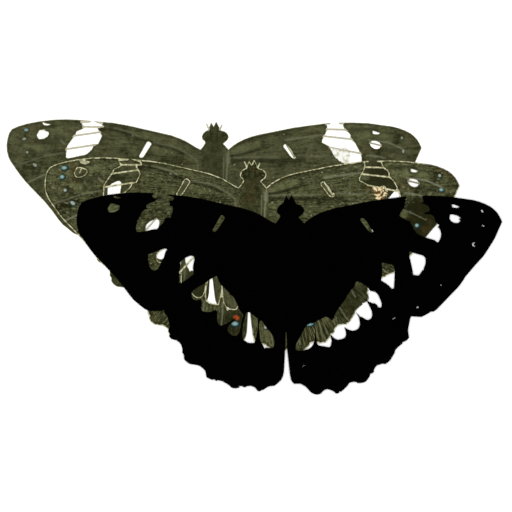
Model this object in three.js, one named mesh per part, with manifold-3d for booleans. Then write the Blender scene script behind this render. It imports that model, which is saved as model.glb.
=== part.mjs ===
import * as THREE from 'three';
import { mergeVertices } from 'three/addons/utils/BufferGeometryUtils.js';
import Module from 'manifold-3d';

const wasm = await Module();
wasm.setup();

// A layered butterfly cut-out: three flat sheets of card, each cut to the outline of the same set
// butterfly with its pale wing marks cut through as windows, and glued face to face in a diagonal
// stagger. Millimetres, +Z up. The stack lies flat on its rear sheet.

// Driving sizes, in millimetres
const SHEET_THICKNESS = 1.0;
const PRINTED_SCALE = 0.976;
const MIDDLE_SHIFT_X = -7.45;
const MIDDLE_SHIFT_Y = 7.44;
const REAR_SHIFT_X = -15.05;
const REAR_SHIFT_Y = 15.04;
const VEIN_STRIP_WIDTH = 0.32;
const SPOT_STRIP_WIDTH = 0.26;
const SLIT_LEDGE_WIDTH = 0.4;
const ANTENNA_WIDTH = 0.24;
const LONGEST_CHORD = 1.4;
const FLATTEST_BEND = 0.03;
const CUTTER_OVERRUN = 0.5;
const WELD_DISTANCE = 1e-5;

// The colours of the card faces
const REAR_COLOUR = 0x4b4a33;
const MIDDLE_COLOUR = 0x4d4830;
const FRONT_COLOUR = 0x030303;
const CARD_ROUGHNESS = 0.85;

// The outline of one butterfly, counterclockwise from the notch between the palps. The origin is on
// the body axis at the level of the wing centres. Every run is one smooth curve, and runs meet in
// corners.
const HEAD_LEFT = [
  [[-0.25, 14.95], [-0.72, 15.84]],
  [[-1.05, 15.15], [-1.2, 14.75], [-1.42, 14.28]],
  [[-1.9, 14.05], [-2.35, 13.65], [-2.62, 13.0], [-2.55, 12.4], [-2.1, 12.05]],
  [[-1.95, 11.7], [-2.15, 11.3], [-2.5, 10.8], [-2.95, 10.3]],
];
const LEFT_FOREWING = [
  [[-4.0, 10.85], [-6.0, 12.05], [-8.0, 12.9], [-10.0, 13.52], [-13.0, 14.2], [-16.0, 14.88],
    [-19.0, 15.48], [-22.0, 15.92], [-25.0, 16.14], [-28.0, 16.4], [-30.5, 16.5], [-33.0, 16.42],
    [-36.0, 16.08], [-38.5, 15.6], [-40.2, 15.1], [-41.6, 14.45], [-42.15, 13.7], [-42.5, 12.5],
    [-42.68, 11.2], [-42.6, 10.0], [-42.35, 8.9], [-41.9, 7.9], [-41.2, 6.9], [-40.4, 5.8],
    [-39.9, 5.05], [-39.2, 4.15], [-38.2, 3.05], [-37.0, 1.92], [-36.0, 0.85], [-35.0, -0.25],
    [-34.0, -1.42], [-33.0, -2.75], [-32.0, -4.1], [-31.25, -5.0], [-30.0, -6.05], [-29.0, -6.82],
    [-28.2, -7.17], [-27.0, -7.2], [-25.8, -7.15], [-25.1, -6.98]],
];
const LEFT_HINDWING = [
  [[-25.2, -7.35], [-25.0, -7.8], [-24.6, -8.05], [-24.4, -8.7], [-24.2, -9.5], [-24.05, -10.3]],
  [[-24.3, -10.7], [-24.35, -11.3], [-24.0, -11.9]],
  [[-24.2, -12.1], [-24.05, -12.45], [-23.7, -12.8], [-23.1, -12.98], [-22.7, -13.05],
    [-22.1, -13.5], [-21.75, -13.95], [-21.55, -14.6], [-21.5, -15.0], [-21.55, -15.5]],
  [[-21.2, -16.0], [-21.2, -16.7], [-20.95, -17.1], [-20.5, -17.5], [-20.0, -17.8],
    [-19.2, -17.92], [-18.5, -18.0], [-17.9, -18.25], [-17.3, -18.75], [-16.9, -19.25],
    [-16.8, -19.7], [-16.8, -20.1], [-16.65, -20.45], [-16.3, -20.65], [-15.9, -20.8],
    [-15.5, -20.98], [-15.15, -20.82]],
  [[-14.85, -21.15], [-14.4, -21.05], [-13.9, -21.12], [-13.3, -21.35], [-12.6, -21.75],
    [-12.1, -22.1], [-11.75, -22.45], [-11.4, -22.62], [-10.8, -22.65], [-10.1, -22.5]],
  [[-10.2, -22.2]],
  [[-9.6, -22.2], [-9.4, -22.38], [-9.0, -22.45], [-8.6, -22.25], [-8.0, -22.15], [-7.5, -22.25],
    [-7.0, -22.5], [-6.7, -22.9], [-6.45, -23.2], [-6.1, -23.25], [-5.6, -23.0], [-5.0, -22.75],
    [-4.5, -22.4], [-4.0, -22.2], [-3.1, -22.15], [-2.4, -21.6], [-1.75, -20.95], [-1.4, -20.2],
    [-1.2, -19.2], [-1.08, -17.0], [-0.98, -15.5], [-0.9, -13.5], [-0.88, -11.45]],
  [[-0.7, -11.45]],
];
const RIGHT_HINDWING = [
  [[-0.64, -13.0], [-0.57, -15.0], [-0.42, -16.2], [-0.3, -17.2], [-0.15, -18.4], [0.0, -20.0],
    [0.2, -20.9], [0.5, -21.5], [0.85, -21.75], [1.5, -21.72], [2.1, -21.75], [2.6, -22.0],
    [3.2, -22.4], [3.7, -22.9], [4.1, -23.4], [4.6, -23.7], [5.2, -23.9], [5.8, -23.85],
    [6.25, -23.65], [6.5, -23.3], [6.9, -22.98], [7.4, -22.82], [7.9, -22.9], [8.5, -23.15],
    [8.9, -23.4], [9.15, -23.68], [9.55, -23.68], [9.85, -23.5]],
  [[9.85, -23.25]],
  [[10.15, -23.35], [10.5, -23.1], [11.0, -22.6], [11.5, -22.15], [11.75, -21.7], [12.1, -21.45],
    [12.7, -21.35], [13.3, -21.4]],
  [[13.45, -21.6], [14.1, -21.6], [14.8, -21.48], [15.2, -21.25], [15.6, -20.75], [15.95, -20.2],
    [16.05, -19.7]],
  [[16.45, -19.68], [16.75, -19.4], [16.8, -18.9], [17.05, -18.4], [17.4, -18.05], [17.9, -17.88],
    [18.5, -17.72], [19.1, -17.8], [19.6, -17.45], [20.05, -17.0], [20.5, -16.3], [20.9, -15.6],
    [21.05, -15.0], [21.5, -14.5], [22.0, -14.05], [22.5, -13.72]],
  [[22.42, -13.45]],
  [[22.9, -13.3], [23.4, -13.0], [23.8, -12.5], [23.7, -11.9], [23.6, -11.2], [23.68, -10.4],
    [23.85, -9.6], [24.0, -8.8], [24.2, -8.25]],
];
const RIGHT_FOREWING = [
  [[25.0, -8.28], [26.3, -8.38]],
  [[27.0, -8.0], [27.7, -7.65], [28.1, -7.35], [28.7, -7.3], [29.3, -6.9], [30.0, -6.2],
    [31.0, -5.1], [32.0, -4.1], [33.0, -3.1], [34.0, -1.95], [34.6, -1.1], [35.0, -0.4],
    [35.5, 0.22], [36.0, 0.83], [37.0, 1.95], [38.0, 3.0], [38.9, 4.1], [39.4, 4.9],
    [39.9, 5.65], [40.5, 6.6], [41.0, 7.5], [41.45, 8.5], [41.9, 9.5], [42.4, 10.65]],
  [[42.0, 11.5], [41.5, 12.35], [40.9, 13.0], [40.1, 13.65], [39.0, 14.2], [37.8, 14.65],
    [36.5, 15.0], [34.8, 15.25], [33.2, 15.48], [31.5, 15.7], [30.0, 15.8], [28.0, 15.85],
    [26.0, 15.82], [24.0, 15.78], [22.5, 15.68], [20.5, 15.38], [18.5, 15.12], [16.5, 14.85],
    [14.5, 14.45], [12.5, 14.05], [10.5, 13.68], [9.0, 13.35], [7.5, 12.95], [6.0, 12.4],
    [4.8, 11.8], [3.8, 11.15], [2.8, 10.3]],
];
const HEAD_RIGHT = [
  [[2.45, 10.72], [2.1, 11.12], [1.7, 11.5]],
  [[2.1, 11.82], [2.55, 12.2], [2.82, 12.8], [2.75, 13.25], [2.45, 13.7], [1.95, 14.02],
    [1.35, 14.18]],
  [[1.1, 14.45], [0.85, 14.95], [0.6, 15.42], [0.3, 16.02]],
  [[-0.25, 14.95]],
];
const BUTTERFLY_OUTLINE = [
  ...HEAD_LEFT, ...LEFT_FOREWING, ...LEFT_HINDWING, ...RIGHT_HINDWING, ...RIGHT_FOREWING, ...HEAD_RIGHT,
];

// Windows that all three sheets share
const LEFT_MEDIAN_SPOT = [
  [[-28.38, 4.1], [-28.4, 3.0], [-28.2, 2.3], [-28.05, 1.6], [-27.7, 1.1], [-27.2, 0.93],
    [-26.8, 0.95], [-26.4, 1.3], [-26.05, 1.85], [-25.8, 2.4], [-25.6, 2.9], [-25.3, 3.3],
    [-25.1, 4.0], [-24.9, 4.6], [-24.6, 5.12]],
  [[-24.85, 5.3]],
  [[-25.4, 5.2], [-26.2, 4.95], [-27.2, 4.55], [-28.38, 4.1]],
];
const LEFT_CUBITAL_SPOT = [
  [[-22.2, -1.6], [-22.2, -0.6], [-22.15, 0.5], [-22.0, 1.4], [-21.95, 2.4]],
  [[-21.7, 2.8], [-21.3, 3.2], [-20.9, 3.45], [-20.3, 3.72], [-19.9, 3.87], [-19.5, 3.85],
    [-19.2, 3.6], [-19.1, 3.1], [-19.2, 2.6], [-19.35, 2.0], [-19.4, 1.2], [-19.35, 0.8],
    [-19.2, 0.35], [-19.4, 0.05], [-19.9, -0.3], [-20.4, -0.75], [-21.0, -1.15], [-21.4, -1.4]],
  [[-21.75, -1.6], [-22.2, -1.6]],
];
const LEFT_CELL_SLIT = [
  [[-13.9, 11.85], [-13.6, 11.98], [-13.2, 11.75], [-12.98, 11.45], [-13.5, 10.6], [-14.1, 9.65],
    [-14.7, 8.8], [-15.0, 8.62], [-15.4, 8.75], [-15.5, 9.0], [-15.25, 9.5], [-14.75, 10.35],
    [-14.25, 11.25], [-13.9, 11.85]],
];
const RIGHT_CELL_SLIT = [
  [[14.3, 11.38], [14.05, 11.15], [14.12, 10.85], [14.5, 10.4], [15.0, 9.7], [15.5, 9.0],
    [15.9, 8.6], [16.25, 8.48], [16.6, 8.6], [16.6, 8.9], [16.3, 9.15], [16.0, 9.55],
    [15.8, 10.0], [15.5, 10.5], [15.0, 11.05], [14.65, 11.35], [14.3, 11.38]],
];
const RIGHT_MEDIAN_SPOT = [
  [[23.9, 4.7], [23.8, 4.2], [23.88, 3.5], [24.05, 3.0], [24.2, 2.3], [24.4, 1.4], [24.55, 0.6],
    [24.62, 0.05]],
  [[25.0, 0.0], [25.5, -0.12], [25.85, 0.0], [26.2, 0.5], [26.5, 0.98]],
  [[26.82, 1.05], [26.7, 1.35]],
  [[26.95, 1.8], [27.1, 2.4], [27.12, 3.0], [27.0, 3.5], [26.7, 3.82], [26.2, 4.02],
    [25.6, 4.15], [24.9, 4.4], [24.3, 4.6], [23.9, 4.7]],
];
const RIGHT_CUBITAL_SPOT = [
  [[18.3, 2.55], [18.4, 1.8], [18.45, 1.0], [18.4, 0.0], [18.3, -0.6], [18.2, -1.0]],
  [[18.5, -1.3], [19.0, -1.55], [19.5, -1.9], [20.0, -2.35], [20.3, -2.7], [20.6, -2.78],
    [20.8, -2.5], [20.87, -1.8], [20.92, -0.5], [20.95, 0.5], [20.92, 1.1], [20.8, 1.6],
    [20.55, 2.0], [20.2, 2.15], [19.4, 2.28], [18.3, 2.55]],
];
const LEFT_HINDWING_BAND = [
  [[-14.8, -0.18], [-15.4, -0.58], [-15.95, -0.85], [-16.6, -1.35], [-17.2, -1.75], [-18.0, -2.15],
    [-18.7, -2.6], [-19.3, -3.0], [-19.6, -3.45], [-19.7, -4.0], [-19.6, -4.5], [-19.3, -4.88],
    [-18.7, -5.05], [-18.15, -4.95], [-17.75, -4.85]],
  [[-17.65, -5.5], [-17.65, -6.1], [-17.8, -6.6], [-17.6, -7.1], [-17.2, -7.35], [-16.5, -7.4],
    [-15.8, -7.35], [-15.3, -7.15], [-14.88, -6.95]],
  [[-14.55, -7.4], [-14.6, -8.1], [-14.6, -8.8], [-14.5, -9.4], [-14.3, -9.85], [-13.9, -10.12],
    [-13.3, -10.0], [-12.7, -9.72], [-12.1, -9.35], [-11.4, -8.95], [-10.75, -8.5]],
  [[-11.1, -9.1], [-11.6, -9.5], [-12.1, -9.95], [-12.45, -10.45], [-12.5, -11.0],
    [-12.35, -11.4], [-12.0, -11.8], [-11.5, -12.1], [-11.0, -12.2], [-10.5, -12.0],
    [-10.2, -11.6], [-10.0, -11.1], [-9.85, -10.5], [-9.8, -9.9], [-9.7, -9.3], [-9.5, -8.6],
    [-9.35, -8.1], [-9.45, -7.7]],
  [[-9.75, -7.45], [-10.0, -7.2], [-10.2, -6.8], [-10.4, -6.3], [-10.6, -5.7], [-10.85, -5.2],
    [-11.1, -4.7], [-11.45, -4.22], [-11.85, -3.98]],
  [[-12.15, -3.88]],
  [[-12.0, -3.7], [-12.2, -3.5], [-12.55, -3.15], [-12.95, -2.7], [-13.35, -2.3], [-13.65, -2.03],
    [-13.95, -1.95]],
  [[-13.85, -1.72], [-14.05, -1.58], [-14.25, -1.25], [-14.4, -0.85]],
  [[-14.5, -0.5], [-14.8, -0.18]],
];
const LEFT_HINDWING_THIRD_CELL = [
  [[-8.5, -7.42], [-8.8, -7.65], [-8.95, -8.1], [-9.12, -8.7], [-9.28, -9.3], [-9.42, -9.9],
    [-9.5, -10.6], [-9.6, -11.3], [-9.57, -12.0], [-9.5, -12.6], [-9.3, -13.0], [-9.0, -13.18]],
  [[-8.7, -13.32], [-8.45, -13.5], [-8.1, -13.6], [-7.1, -13.58]],
  [[-6.95, -13.0], [-6.75, -12.4], [-6.62, -11.8], [-6.5, -11.1], [-6.38, -10.4], [-6.4, -9.7],
    [-6.45, -9.1], [-6.5, -8.7]],
  [[-7.0, -8.3], [-7.4, -8.0], [-7.8, -7.7], [-8.1, -7.42], [-8.5, -7.42]],
];
const LEFT_HINDWING_INNER_CELL = [
  [[-5.9, -9.05], [-6.12, -9.5], [-6.2, -10.2], [-6.12, -11.0], [-6.08, -11.8], [-6.0, -12.6],
    [-5.85, -13.2], [-5.6, -13.75], [-5.35, -14.15], [-5.12, -14.75]],
  [[-4.9, -14.5], [-4.4, -14.55], [-4.0, -14.6], [-3.55, -14.6], [-3.3, -14.35], [-3.15, -13.85],
    [-3.15, -13.3], [-3.3, -12.6], [-3.5, -12.1], [-3.8, -11.6], [-4.2, -11.15], [-4.5, -10.8],
    [-4.8, -10.4], [-5.05, -10.0], [-5.35, -9.6], [-5.6, -9.2], [-5.9, -9.05]],
];
const RIGHT_HINDWING_BAND = [
  [[13.5, -1.2], [13.1, -1.55], [12.95, -2.0], [12.85, -2.4]],
  [[12.5, -2.65], [12.15, -3.05], [11.9, -3.4], [11.7, -3.75], [11.4, -4.05], [11.2, -4.6],
    [10.9, -5.05], [10.5, -5.55], [10.2, -6.0], [9.9, -6.4], [9.6, -6.8], [9.25, -7.4],
    [8.95, -8.0], [8.8, -8.6]],
  [[8.35, -9.08], [8.1, -8.85], [7.75, -8.55], [7.3, -8.38], [6.8, -8.42], [6.4, -8.68],
    [5.9, -8.92], [5.4, -9.15], [5.1, -9.4], [4.6, -9.58], [4.0, -9.7], [3.5, -9.9],
    [3.2, -10.2], [2.95, -10.6], [2.7, -11.05], [2.45, -11.6], [2.2, -12.1], [1.9, -12.6],
    [1.6, -13.1], [1.3, -13.6], [1.15, -14.2], [1.12, -14.75], [1.25, -15.08]],
  [[1.8, -15.12], [2.5, -15.1], [3.1, -15.0], [3.6, -14.82], [4.1, -14.55], [4.4, -14.25],
    [4.65, -13.85], [4.85, -13.4], [4.95, -12.9], [5.0, -12.0], [5.05, -10.95]],
  [[5.12, -10.95]],
  [[5.17, -11.8], [5.25, -12.6], [5.35, -13.2], [5.42, -13.7], [5.7, -14.1]],
  [[6.3, -14.2], [7.0, -14.28], [7.5, -14.42], [7.92, -14.45], [8.12, -14.2], [8.2, -13.7],
    [8.35, -13.1], [8.2, -12.7], [8.18, -12.3], [8.27, -11.9]],
  [[8.4, -12.2], [8.75, -12.55], [9.15, -12.8], [9.6, -12.95], [10.2, -12.85], [10.7, -12.68],
    [11.08, -12.4], [11.2, -11.9], [11.15, -11.3], [10.85, -10.4]],
  [[11.2, -10.65], [11.6, -10.88], [12.1, -11.08], [12.65, -11.15], [13.2, -11.0], [13.65, -10.72],
    [13.9, -10.2], [14.0, -9.6], [13.9, -9.0], [13.78, -8.5]],
  [[13.55, -8.0], [13.2, -7.38]],
  [[13.65, -7.85], [14.05, -8.35]],
  [[14.4, -8.4], [14.75, -8.6], [15.1, -8.85], [15.5, -9.0], [15.9, -8.9], [16.28, -8.6],
    [16.43, -8.1], [16.4, -7.5], [16.2, -6.85], [15.9, -6.3], [15.6, -5.7], [15.4, -5.3],
    [14.9, -4.75]],
  [[15.4, -5.08], [15.9, -5.4], [16.4, -5.6], [17.0, -5.7], [17.4, -5.95], [17.5, -6.3],
    [17.8, -6.53], [18.15, -6.5], [18.35, -6.15], [18.3, -5.6], [18.1, -5.0], [17.8, -4.3],
    [17.5, -3.8], [17.1, -3.42], [16.6, -3.25], [16.1, -3.2]],
  [[15.9, -2.9], [15.65, -2.58], [15.2, -2.15], [14.6, -1.75], [14.0, -1.45], [13.5, -1.2]],
];
const COSTAL_SLIVER = [
  [[-35.35, 15.9], [-35.25, 15.55], [-34.95, 15.32], [-34.4, 15.25], [-33.9, 15.35], [-33.65, 15.5]],
  [[-34.2, 15.58], [-34.6, 15.65], [-35.0, 15.78], [-35.35, 15.9]],
];
const SUBAPICAL_SPOT = [
  [[-35.9, 14.3], [-36.2, 13.85], [-36.5, 13.3], [-36.35, 12.85], [-36.05, 12.48]],
  [[-35.5, 12.5], [-35.0, 12.6], [-34.4, 12.95], [-34.05, 13.4], [-34.1, 13.9]],
  [[-34.7, 14.12], [-35.3, 14.28], [-35.9, 14.3]],
];
const RIGHT_SUBAPICAL_DASH = [
  [[32.4, 14.15], [32.32, 13.8], [32.5, 13.52], [32.95, 13.42], [33.5, 13.42], [33.93, 13.68]],
  [[33.4, 13.88], [32.9, 14.05], [32.4, 14.15]],
];
const SHARED_WINDOWS = [
  LEFT_MEDIAN_SPOT, LEFT_CUBITAL_SPOT, LEFT_CELL_SLIT, RIGHT_CELL_SLIT, RIGHT_MEDIAN_SPOT,
  RIGHT_CUBITAL_SPOT, LEFT_HINDWING_BAND, LEFT_HINDWING_THIRD_CELL, LEFT_HINDWING_INNER_CELL,
  RIGHT_HINDWING_BAND, COSTAL_SLIVER, SUBAPICAL_SPOT, RIGHT_SUBAPICAL_DASH,
];

// Windows of the black sheet alone. Its wing bands run out through the front edge of the wings.
const BLACK_LEFT_BAND = [
  [[-27.15, 17.0], [-27.15, 16.25]],
  [[-27.6, 15.85], [-27.45, 15.5], [-27.1, 15.32], [-25.9, 15.2]],
  [[-26.95, 15.02], [-26.9, 14.8]],
  [[-27.35, 14.62], [-28.0, 14.4], [-28.5, 14.15], [-28.8, 13.75], [-28.7, 13.42], [-28.45, 13.25]],
  [[-29.0, 13.1], [-29.45, 12.75], [-29.75, 12.3], [-30.0, 11.75], [-30.3, 11.25], [-30.6, 10.75],
    [-30.55, 10.3]],
  [[-30.75, 10.05], [-30.8, 9.4], [-30.75, 8.85], [-30.6, 8.62]],
  [[-30.0, 8.62], [-29.2, 8.7], [-28.4, 8.88], [-27.4, 9.1], [-26.6, 9.2], [-26.2, 9.6],
    [-25.8, 9.95], [-25.4, 10.35], [-25.15, 10.8], [-25.0, 11.4]],
  [[-24.4, 11.55], [-23.85, 11.42]],
  [[-23.78, 11.95], [-23.55, 12.4], [-23.42, 12.9], [-23.38, 13.4], [-23.5, 13.75]],
  [[-24.05, 13.8]],
  [[-24.0, 14.2], [-24.1, 14.6], [-24.35, 14.88]],
  [[-23.4, 14.9], [-23.18, 15.25], [-23.3, 15.65]],
  [[-24.2, 15.85], [-24.65, 16.15], [-24.65, 17.0]],
  [[-27.15, 17.0]],
];
const BLACK_RIGHT_BAND = [
  [[23.25, 16.6], [23.2, 15.3]],
  [[22.98, 15.1], [23.1, 14.8], [22.9, 14.45], [23.02, 14.05], [22.8, 13.65], [22.6, 13.2],
    [22.3, 12.8], [22.05, 12.4], [21.85, 12.0], [22.05, 11.65]],
  [[22.5, 11.38], [23.0, 11.12], [23.5, 10.85], [24.0, 10.75]],
  [[24.0, 10.5], [24.25, 10.15], [24.5, 9.7], [24.7, 9.2], [25.0, 8.85], [25.15, 8.5],
    [25.5, 8.22], [26.0, 7.95], [26.5, 7.68], [27.1, 7.48], [27.8, 7.3], [28.5, 7.12],
    [29.0, 6.95], [29.2, 6.7], [29.5, 6.48]],
  [[29.8, 6.75], [30.02, 7.2], [30.17, 7.7], [30.2, 8.3], [30.12, 8.8], [29.9, 9.25],
    [29.65, 9.5], [29.4, 9.6]],
  [[29.75, 9.7], [29.78, 10.05], [29.5, 10.35]],
  [[29.2, 10.6], [29.0, 11.0], [28.9, 11.5], [28.6, 11.85], [28.1, 12.12], [27.5, 12.15],
    [26.9, 12.2]],
  [[26.85, 12.45], [27.25, 12.55], [27.72, 12.65], [27.95, 13.05], [27.8, 13.5], [27.55, 13.88],
    [27.2, 14.08], [26.7, 14.25]],
  [[25.9, 14.33]],
  [[26.6, 14.42], [26.7, 14.75], [26.58, 15.2], [26.45, 15.6], [26.4, 16.6]],
  [[23.25, 16.6]],
];
const BLACK_APICAL_SPOT = [
  [[32.0, 12.1], [31.88, 11.4], [32.0, 11.0], [32.3, 10.68], [32.8, 10.45], [33.35, 10.38],
    [33.8, 10.5], [34.05, 10.8], [33.98, 11.05]],
  [[33.62, 11.15]],
  [[34.15, 11.28], [34.0, 11.52], [33.6, 11.82], [33.1, 12.0], [32.6, 12.12], [32.0, 12.1]],
];
const PINHOLE_DASHES = [
  { from: [38.3, 13.02], to: [38.54, 12.52], width: 0.34 },
  { from: [38.4, 9.98], to: [38.86, 9.68], width: 0.26 },
  { from: [36.9, 6.52], to: [36.55, 6.2], width: 0.26 },
  { from: [36.55, 6.3], to: [36.62, 5.82], width: 0.34 },
  { from: [36.62, 5.82], to: [36.98, 5.75], width: 0.26 },
  { from: [29.98, -1.9], to: [30.3, -2.08], width: 0.2 },
  { from: [25.3, -6.5], to: [25.75, -6.46], width: 0.3 },
  { from: [20.55, -8.85], to: [21.05, -8.52], width: 0.2 },
  { from: [2.45, -18.35], to: [2.6, -18.2], width: 0.22 },
  { from: [2.7, -18.1], to: [3.0, -18.08], width: 0.18 },
];

// Windows of the two printed sheets alone
const PRINTED_LEFT_BAND = [
  [[-25.45, 17.0], [-25.45, 15.9]],
  [[-26.2, 15.82], [-26.9, 15.8], [-27.3, 15.72]],
  [[-27.2, 15.5], [-26.95, 15.2], [-26.7, 14.85]],
  [[-27.2, 14.5], [-27.8, 14.25], [-28.3, 14.02], [-28.52, 13.7], [-28.55, 13.4], [-28.85, 13.0],
    [-29.15, 12.55], [-29.5, 12.1], [-29.85, 11.6], [-30.15, 11.2], [-30.35, 10.75]],
  [[-30.38, 10.1], [-30.45, 9.4], [-30.52, 8.72]],
  [[-30.2, 8.55], [-29.6, 8.6], [-28.9, 8.78], [-28.1, 8.95], [-27.4, 9.1], [-26.7, 9.2],
    [-26.2, 9.45], [-25.7, 9.85], [-25.25, 10.3], [-25.0, 10.75], [-24.85, 11.3]],
  [[-24.4, 11.42], [-23.95, 11.45]],
  [[-23.75, 11.8], [-23.5, 12.25], [-23.3, 12.7], [-23.18, 13.15], [-23.35, 13.5], [-23.6, 13.9],
    [-23.85, 14.25], [-24.05, 14.62]],
  [[-24.0, 14.9], [-22.85, 14.92]],
  [[-23.0, 15.25], [-23.15, 15.5], [-23.7, 15.68], [-24.3, 15.88], [-24.8, 16.1], [-24.8, 17.0]],
  [[-25.45, 17.0]],
];
const PRINTED_LEFT_STRIPS = [
  { from: [-27.3, 15.0], to: [-22.5, 14.92] },
  { from: [-29.4, 13.05], to: [-23.0, 13.97] },
  { from: [-31.0, 10.3], to: [-24.5, 11.3] },
];
const PRINTED_RIGHT_BAND = [
  [[23.72, 16.6], [23.72, 15.5]],
  [[23.3, 15.48], [22.98, 15.48]],
  [[23.02, 15.1], [23.1, 14.7], [23.0, 14.3], [22.85, 13.9], [22.65, 13.5], [22.45, 13.1],
    [22.2, 12.6], [22.0, 12.2], [21.98, 11.75]],
  [[22.4, 11.55], [22.9, 11.3], [23.35, 11.0], [23.75, 10.8]],
  [[24.05, 10.45], [24.3, 9.95], [24.55, 9.45], [24.8, 8.95], [25.1, 8.5], [25.6, 8.15],
    [26.2, 7.85], [26.8, 7.6], [27.5, 7.4], [28.3, 7.2], [29.1, 6.95], [29.5, 6.7]],
  [[29.85, 7.0], [30.05, 7.5], [30.12, 8.1], [30.1, 8.7], [29.95, 9.2], [29.75, 9.65],
    [29.55, 10.2], [29.25, 10.8], [28.95, 11.35], [28.65, 11.8], [28.25, 12.1], [27.7, 12.5]],
  [[27.85, 12.9], [27.82, 13.3], [27.55, 13.72], [27.15, 13.98], [26.8, 14.2]],
  [[26.55, 14.65], [26.35, 15.1], [26.25, 15.5], [25.45, 15.55], [25.45, 16.6]],
  [[23.72, 16.6]],
];
const PRINTED_RIGHT_STRIPS = [
  { from: [22.7, 14.5], to: [27.2, 14.35] },
  { from: [22.0, 13.1], to: [28.4, 12.4] },
  { from: [23.6, 10.75], to: [30.4, 9.42] },
];
const PRINTED_APICAL_SPOT = [
  [[32.15, 12.1], [31.82, 11.5], [31.95, 11.1], [32.25, 10.75], [32.7, 10.48], [33.25, 10.38],
    [33.75, 10.55], [34.02, 10.9], [34.05, 11.35], [33.8, 11.75], [33.4, 11.98], [32.8, 12.12],
    [32.15, 12.1]],
];
const PRINTED_SPOT_STRIP = { from: [31.6, 11.75], to: [34.3, 11.08] };
const HINDWING_STRIPS = [
  { from: [-13.6, -1.6], to: [-18.2, -5.2] },
  { from: [-11.7, -3.5], to: [-15.2, -7.35] },
  { from: [12.6, -2.2], to: [15.5, -5.3] },
  { from: [11.2, -4.2], to: [14.2, -8.5] },
  { from: [8.7, -8.1], to: [11.2, -10.8] },
  { from: [8.0, -8.6], to: [8.35, -12.6] },
  { from: [4.95, -9.2], to: [5.15, -11.6] },
];

// A ledge of card along one side of the right cell slit of the printed sheets
const SLIT_LEDGE = { from: [14.72, 11.4], to: [16.4, 8.7] };

// A ragged scrap of card left uncut in the lowest cell of the printed right band, and a barb that
// hangs from the top edge of the middle sheet's subapical spot
const RAGGED_SCRAP = [
  [[23.8, 10.8], [24.9, 7.9], [26.3, 7.5], [27.6, 7.2]],
  [[27.3, 7.8], [27.75, 8.15], [27.35, 8.55], [27.95, 8.95], [27.45, 9.25], [27.75, 9.6],
    [27.2, 9.95], [27.3, 10.35], [26.9, 10.72], [26.45, 10.62]],
  [[26.0, 10.4], [25.0, 10.6], [23.8, 10.8]],
];
const SPOT_BARB = { from: [-34.95, 14.45], to: [-35.5, 13.3] };
const ANTENNA_STUBS = [
  { from: [-1.15, 14.35], to: [-1.72, 15.6] },
  { from: [1.05, 14.4], to: [1.48, 15.35] },
];

// Points along a list of runs, each run a smooth curve that starts where the last one ended
function loopPoints(runs, scale) {
  const points = [];
  let start = null;
  for (const run of runs) {
    const stops = run.map(([x, y]) => new THREE.Vector2(x * scale, y * scale));
    if (start) stops.unshift(start);
    points.push(...runPoints(stops));
    start = stops[stops.length - 1];
  }
  return withoutFlatPoints(points);
}

// The same closed loop without the points that lie almost on the line between their neighbours
function withoutFlatPoints(points) {
  const kept = [];
  points.forEach((point, i) => {
    const before = kept[kept.length - 1] ?? points[points.length - 1];
    const after = points[(i + 1) % points.length];
    if (distanceFromLine(point, before, after) > FLATTEST_BEND) kept.push(point);
  });
  return kept;
}

function distanceFromLine(point, lineStart, lineEnd) {
  const along = lineEnd.clone().sub(lineStart).normalize();
  return Math.abs(along.cross(point.clone().sub(lineStart)));
}

function runPoints(stops) {
  const curve = new THREE.SplineCurve(stops);
  const intervals = stops.length - 1;
  const points = [];
  for (let i = 0; i < intervals; i += 1) {
    const steps = Math.ceil(stops[i].distanceTo(stops[i + 1]) / LONGEST_CHORD);
    for (let j = 1; j <= steps; j += 1) {
      points.push(curve.getPoint((i + j / steps) / intervals));
    }
  }
  return points;
}

// The four corners of a straight strip of the given width
function stripPoints(strip, width, scale) {
  const from = new THREE.Vector2(...strip.from);
  const to = new THREE.Vector2(...strip.to);
  const along = to.clone().sub(from).normalize();
  const side = new THREE.Vector2(-along.y, along.x).multiplyScalar(width / 2);
  const corners = [from.clone().sub(side), to.clone().sub(side), to.clone().add(side), from.clone().add(side)];
  return corners.map((corner) => corner.multiplyScalar(scale));
}

// A solid with the given outline between two heights
function plate(points, bottom, top) {
  const shape = new THREE.Shape(points);
  const geometry = new THREE.ExtrudeGeometry(shape, { depth: top - bottom, bevelEnabled: false });
  geometry.translate(0, 0, bottom);
  return solidFrom(geometry);
}

function solidFrom(geometry) {
  geometry.deleteAttribute('normal');
  geometry.deleteAttribute('uv');
  const merged = mergeVertices(geometry, WELD_DISTANCE);
  const vertProperties = new Float32Array(merged.attributes.position.array);
  const triVerts = new Uint32Array(merged.index.array);
  return new wasm.Manifold(new wasm.Mesh({ numProp: 3, vertProperties, triVerts }));
}

function geometryFrom(solid) {
  const mesh = solid.getMesh();
  const geometry = new THREE.BufferGeometry();
  geometry.setAttribute('position', new THREE.BufferAttribute(new Float32Array(mesh.vertProperties), 3));
  geometry.setIndex(new THREE.BufferAttribute(new Uint32Array(mesh.triVerts), 1));
  geometry.computeVertexNormals();
  return geometry;
}

function cardPlate(points) {
  return plate(points, 0, SHEET_THICKNESS);
}

function cutter(points) {
  return plate(points, -CUTTER_OVERRUN, SHEET_THICKNESS + CUTTER_OVERRUN);
}

function joined(solids) {
  return solids.reduce((sum, solid) => sum.add(solid));
}

// The plain black sheet: clean windows, pinholes, and bands open at the front edge of the wings
function blackSheet() {
  const windows = [...SHARED_WINDOWS, BLACK_LEFT_BAND, BLACK_RIGHT_BAND, BLACK_APICAL_SPOT];
  const cutters = windows.map((runs) => cutter(loopPoints(runs, 1)));
  const pinholes = PINHOLE_DASHES.map((dash) => cutter(stripPoints(dash, dash.width, 1)));
  return cardPlate(loopPoints(BUTTERFLY_OUTLINE, 1)).subtract(joined([...cutters, ...pinholes]));
}

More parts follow.
